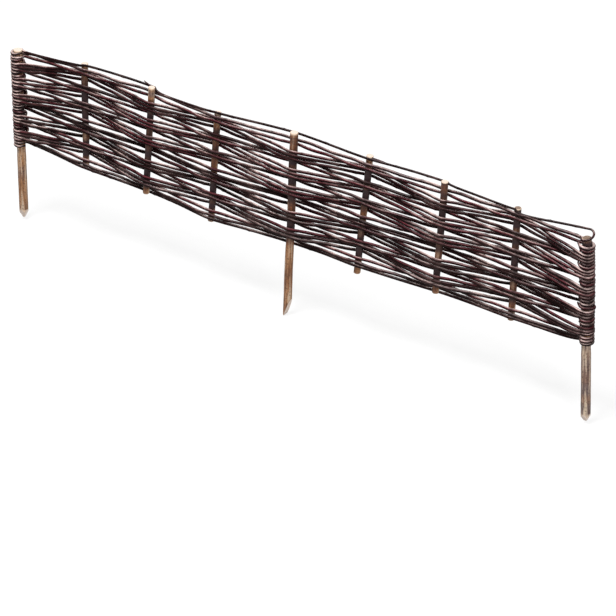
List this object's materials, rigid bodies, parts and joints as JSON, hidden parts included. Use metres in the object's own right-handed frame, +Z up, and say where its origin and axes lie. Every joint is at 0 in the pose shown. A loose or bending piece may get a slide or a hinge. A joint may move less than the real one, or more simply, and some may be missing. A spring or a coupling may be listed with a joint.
{
  "type": "woven willow hurdle",
  "caption": "Low garden edging hurdle of willow rods woven between upright stakes, wound round the end stakes, with pointed ground stakes to push into soil",
  "frame": {"origin": "on the middle ground stake's axis at the ground line, just under the lowest rod", "axes": "+X along the panel to the right seen from the front, +Y from front to back, +Z up"},
  "size_m": [1.1973, 0.0294, 0.3747],
  "materials": {
    "rod_bark": "dried brown willow bark, satin",
    "stake_wood": "weathered bark with pale cut ends, matt"
  },
  "bodies": {
    "root": {"course_01_rod_1": "rod_bark", "course_02_rod_1": "rod_bark", "course_02_rod_2": "rod_bark", "course_03_rod_1": "rod_bark", "course_03_rod_2": "rod_bark", "course_03_rod_3": "rod_bark", "course_04_rod_1": "rod_bark", "course_04_rod_2": "rod_bark", "course_05_rod_1": "rod_bark", "course_05_rod_2": "rod_bark", "course_05_rod_3": "rod_bark", "course_06_rod_1": "rod_bark", "course_06_rod_2": "rod_bark", "course_07_rod_1": "rod_bark", "course_07_rod_2": "rod_bark", "course_08_rod_1": "rod_bark", "course_08_rod_2": "rod_bark", "course_08_rod_3": "rod_bark", "course_09_rod_1": "rod_bark", "course_09_rod_2": "rod_bark", "course_10_rod_1": "rod_bark", "course_10_rod_2": "rod_bark", "course_10_rod_3": "rod_bark", "course_11_rod_1": "rod_bark", "course_11_rod_2": "rod_bark", "course_12_rod_1": "rod_bark", "course_12_rod_2": "rod_bark", "course_12_rod_3": "rod_bark", "course_13_rod_1": "rod_bark", "course_13_rod_2": "rod_bark", "course_14_rod_1": "rod_bark", "left_ground_stake": "stake_wood", "middle_ground_stake": "stake_wood", "right_ground_stake": "stake_wood", "upright_2": "stake_wood", "upright_3": "stake_wood", "upright_4": "stake_wood", "upright_6": "stake_wood", "upright_7": "stake_wood", "upright_8": "stake_wood"}
  },
  "joints": []
}
